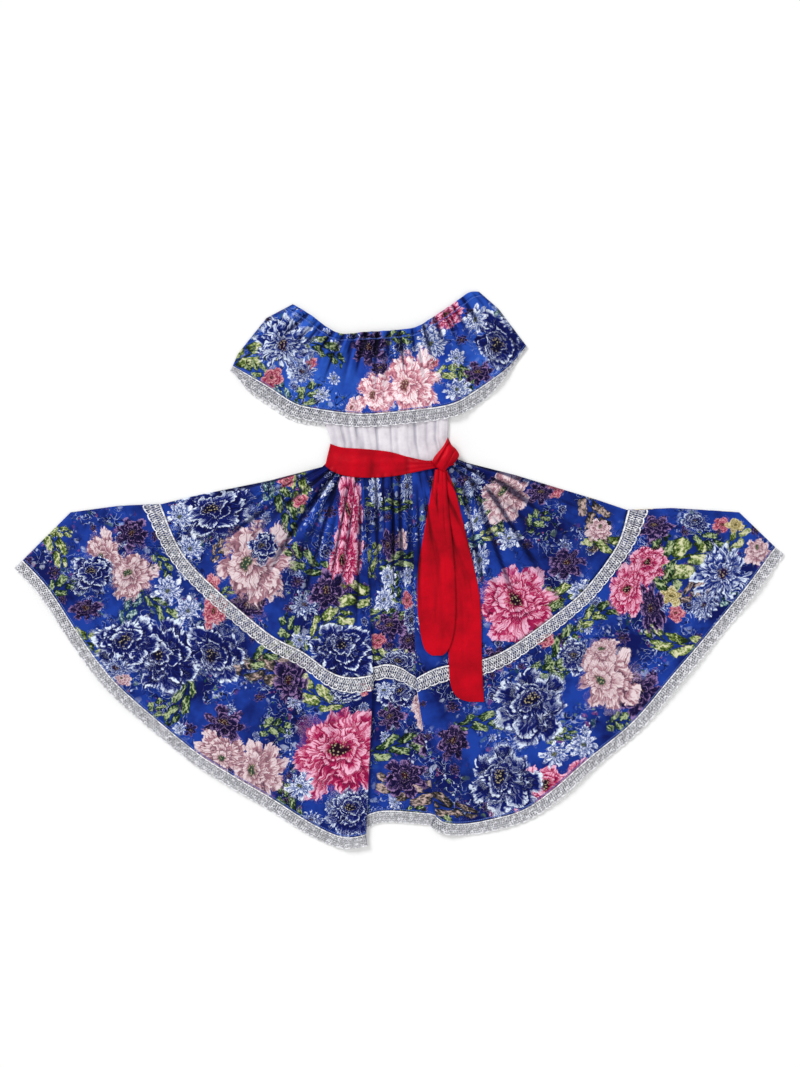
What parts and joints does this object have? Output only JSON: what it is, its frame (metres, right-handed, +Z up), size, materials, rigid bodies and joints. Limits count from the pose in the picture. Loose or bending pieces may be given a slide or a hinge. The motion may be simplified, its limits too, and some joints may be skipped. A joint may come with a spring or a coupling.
{
  "type": "jibara dress with a sash, laid flat",
  "caption": "Off-shoulder folk dress laid flat: gathered ruffle, plain bodice, tied sash and a wide two-tier skirt edged with lace.",
  "frame": {"origin": "centre of the laid-out dress at the surface that it lies on", "axes": "+X to the right as seen from above, +Y from the hem to the neckline, +Z up off the surface"},
  "size_m": [1.926, 1.3918, 0.0347],
  "materials": {
    "printed_cotton": "royal blue cotton with a painted flower print, soft sheen",
    "white_lace": "white cotton lace, matte",
    "white_cotton": "white cotton, matte",
    "red_satin": "crimson cotton sateen, low sheen"
  },
  "bodies": {
    "root": {"upper_tier_front": "printed_cotton", "upper_tier_back": "printed_cotton", "lower_tier_front": "printed_cotton", "lower_tier_back": "printed_cotton", "ruffle_front": "printed_cotton", "ruffle_back": "printed_cotton", "neck_casing_front": "printed_cotton", "neck_casing_back": "printed_cotton", "tier_lace_front": "white_lace", "tier_lace_back": "white_lace", "hem_lace_front": "white_lace", "hem_lace_back": "white_lace", "ruffle_lace_front": "white_lace", "ruffle_lace_back": "white_lace", "bodice_front": "white_cotton", "bodice_back": "white_cotton", "sash_band_front": "red_satin", "sash_band_back": "red_satin", "sash_knot": "red_satin", "sash_tail_left": "red_satin", "sash_tail_right": "red_satin"}
  },
  "joints": []
}
